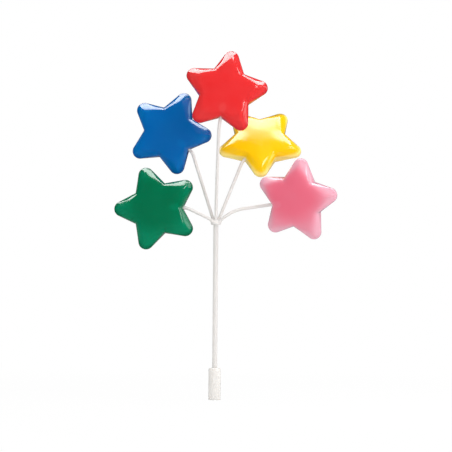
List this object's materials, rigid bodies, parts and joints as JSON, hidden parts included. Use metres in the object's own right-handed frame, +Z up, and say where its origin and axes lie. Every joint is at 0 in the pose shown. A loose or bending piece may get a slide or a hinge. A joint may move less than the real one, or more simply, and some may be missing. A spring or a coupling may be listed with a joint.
{
  "type": "cake topper",
  "caption": "Cluster of puffy plastic stars that swivel on thin branches above a slender stem, with a socketed base sleeve that stands it in a cake.",
  "frame": {"origin": "middle of the open foot of the base sleeve, at the mouth of the stake socket", "axes": "+Z up the stem, the fronts of the stars towards -Y, +X to the viewer's right"},
  "size_m": [0.1141, 0.0496, 0.1781],
  "materials": {
    "white_plastic": "satin off-white moulded plastic",
    "red_plastic": "glossy, slightly translucent red moulded plastic",
    "blue_plastic": "glossy, slightly translucent blue moulded plastic",
    "green_plastic": "glossy, slightly translucent green moulded plastic",
    "yellow_plastic": "glossy, slightly translucent yellow moulded plastic",
    "pink_plastic": "glossy, slightly translucent pink moulded plastic"
  },
  "bodies": {
    "spray": {"base_sleeve": "white_plastic", "stem": "white_plastic", "branch_hub": "white_plastic", "red_branch": "white_plastic", "blue_branch": "white_plastic", "green_branch": "white_plastic", "yellow_branch": "white_plastic", "pink_branch": "white_plastic"},
    "red_star": {"red_star_front": "red_plastic", "red_star_back": "red_plastic"},
    "blue_star": {"blue_star_front": "blue_plastic", "blue_star_back": "blue_plastic"},
    "green_star": {"green_star_front": "green_plastic", "green_star_back": "green_plastic"},
    "yellow_star": {"yellow_star_front": "yellow_plastic", "yellow_star_back": "yellow_plastic"},
    "pink_star": {"pink_star_front": "pink_plastic", "pink_star_back": "pink_plastic"}
  },
  "joints": [
    {"name": "red_star_swivel", "type": "hinge", "parent": "spray", "child": "red_star", "pos_m": [0.00195, -0.0105, 0.1439], "axis": [0.1664, 0.2498, 0.9539], "continuous": true},
    {"name": "blue_star_swivel", "type": "hinge", "parent": "spray", "child": "blue_star", "pos_m": [-0.0141, 0.0068, 0.1276], "axis": [-0.7315, 0.2464, 0.6358], "continuous": true},
    {"name": "green_star_swivel", "type": "hinge", "parent": "spray", "child": "green_star", "pos_m": [-0.0167, -0.003, 0.0977], "axis": [-0.9953, 0.0938, -0.0221], "continuous": true},
    {"name": "yellow_star_swivel", "type": "hinge", "parent": "spray", "child": "yellow_star", "pos_m": [0.0145, 0.008, 0.123], "axis": [0.5734, 0.5034, 0.6464], "continuous": true},
    {"name": "pink_star_swivel", "type": "hinge", "parent": "spray", "child": "pink_star", "pos_m": [0.0291, -0.0028, 0.1], "axis": [0.907, -0.3926, 0.1521], "continuous": true}
  ]
}
